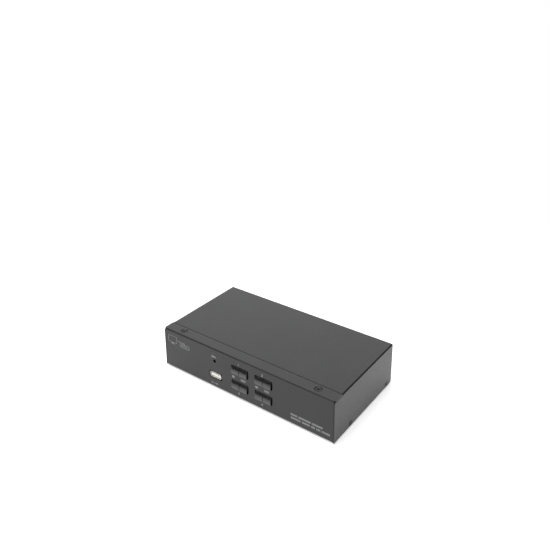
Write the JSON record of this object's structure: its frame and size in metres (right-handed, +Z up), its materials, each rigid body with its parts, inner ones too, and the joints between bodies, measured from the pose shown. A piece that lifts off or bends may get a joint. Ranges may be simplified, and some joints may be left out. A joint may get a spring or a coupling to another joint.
{
  "type": "kvm switch",
  "caption": "Desktop KVM switch: low black folded-steel box with paired port push buttons, a front USB socket and reset pinhole, and video, USB, audio and power sockets on the back.",
  "frame": {"origin": "middle of the footprint, on the plane that the feet stand on", "axes": "+X to the right of the front panel (longest), +Y from the front panel to the rear panel, +Z up"},
  "size_m": [0.21, 0.1158, 0.046],
  "materials": {
    "black_paint": "fine matte black powder coat",
    "black_screw": "black zinc, satin",
    "rubber": "matte black rubber",
    "circuit_board": "green solder mask",
    "black_plastic": "moulded black plastic",
    "brass": "turned brass",
    "button_plastic": "glossy black plastic",
    "plated_steel": "nickel-plated steel",
    "cream_plastic": "cream moulded plastic"
  },
  "bodies": {
    "case": {"chassis_tray": "black_paint", "top_cover": "black_paint", "strip_screw_left": "black_screw", "strip_screw_right": "black_screw", "side_screw_left_front": "black_screw", "side_screw_left_rear": "black_screw", "side_screw_right_front": "black_screw", "side_screw_right_rear": "black_screw", "main_board_screw_left": "black_screw", "main_board_screw_right": "black_screw", "upper_board_screw_left": "black_screw", "upper_board_screw_right": "black_screw", "foot_left_front": "rubber", "foot_left_rear": "rubber", "foot_right_front": "rubber", "foot_right_rear": "rubber", "main_board": "circuit_board", "upper_board": "circuit_board", "button_board": "circuit_board", "front_board_link": "black_plastic", "rear_board_link": "black_plastic", "switch_block_1": "black_plastic", "switch_block_2": "black_plastic", "switch_block_3": "black_plastic", "switch_block_4": "black_plastic", "reset_switch": "black_plastic", "computer_hdmi_tongue_1": "black_plastic", "computer_hdmi_tongue_2": "black_plastic", "computer_hdmi_tongue_3": "black_plastic", "computer_hdmi_tongue_4": "black_plastic", "console_hdmi_tongue": "black_plastic", "computer_audio_jack_1": "black_plastic", "computer_audio_jack_2": "black_plastic", "computer_audio_jack_3": "black_plastic", "computer_audio_jack_4": "black_plastic", "console_audio_stack": "black_plastic", "power_jack": "black_plastic", "board_spacer_left": "brass", "board_spacer_right": "brass", "front_usb_shell": "plated_steel", "computer_hdmi_shell_1": "plated_steel", "computer_hdmi_shell_2": "plated_steel", "computer_hdmi_shell_3": "plated_steel", "computer_hdmi_shell_4": "plated_steel", "console_hdmi_shell": "plated_steel", "computer_usb_shell_1": "plated_steel", "computer_usb_shell_2": "plated_steel", "computer_usb_shell_3": "plated_steel", "computer_usb_shell_4": "plated_steel", "console_usb_stack": "plated_steel", "front_usb_tongue": "cream_plastic"},
    "button_1_left": {"button_cap_1_left": "button_plastic"},
    "button_1_right": {"button_cap_1_right": "button_plastic"},
    "button_2_left": {"button_cap_2_left": "button_plastic"},
    "button_2_right": {"button_cap_2_right": "button_plastic"},
    "button_3_left": {"button_cap_3_left": "button_plastic"},
    "button_3_right": {"button_cap_3_right": "button_plastic"},
    "button_4_left": {"button_cap_4_left": "button_plastic"},
    "button_4_right": {"button_cap_4_right": "button_plastic"},
    "reset_button": {"reset_plunger": "black_plastic"}
  },
  "joints": [
    {"name": "press_1_left", "type": "slide", "parent": "case", "child": "button_1_left", "axis": [0, 1, 0], "range_m": [0, 0.0006], "stiffness_N_per_m": 500, "springref_m": -0.002},
    {"name": "press_1_right", "type": "slide", "parent": "case", "child": "button_1_right", "axis": [0, 1, 0], "range_m": [0, 0.0006], "stiffness_N_per_m": 500, "springref_m": -0.002},
    {"name": "press_2_left", "type": "slide", "parent": "case", "child": "button_2_left", "axis": [0, 1, 0], "range_m": [0, 0.0006], "stiffness_N_per_m": 500, "springref_m": -0.002},
    {"name": "press_2_right", "type": "slide", "parent": "case", "child": "button_2_right", "axis": [0, 1, 0], "range_m": [0, 0.0006], "stiffness_N_per_m": 500, "springref_m": -0.002},
    {"name": "press_3_left", "type": "slide", "parent": "case", "child": "button_3_left", "axis": [0, 1, 0], "range_m": [0, 0.0006], "stiffness_N_per_m": 500, "springref_m": -0.002},
    {"name": "press_3_right", "type": "slide", "parent": "case", "child": "button_3_right", "axis": [0, 1, 0], "range_m": [0, 0.0006], "stiffness_N_per_m": 500, "springref_m": -0.002},
    {"name": "press_4_left", "type": "slide", "parent": "case", "child": "button_4_left", "axis": [0, 1, 0], "range_m": [0, 0.0006], "stiffness_N_per_m": 500, "springref_m": -0.002},
    {"name": "press_4_right", "type": "slide", "parent": "case", "child": "button_4_right", "axis": [0, 1, 0], "range_m": [0, 0.0006], "stiffness_N_per_m": 500, "springref_m": -0.002},
    {"name": "press_reset", "type": "slide", "parent": "case", "child": "reset_button", "axis": [0, 1, 0], "range_m": [0, 0.0004], "stiffness_N_per_m": 800, "springref_m": -0.001}
  ]
}
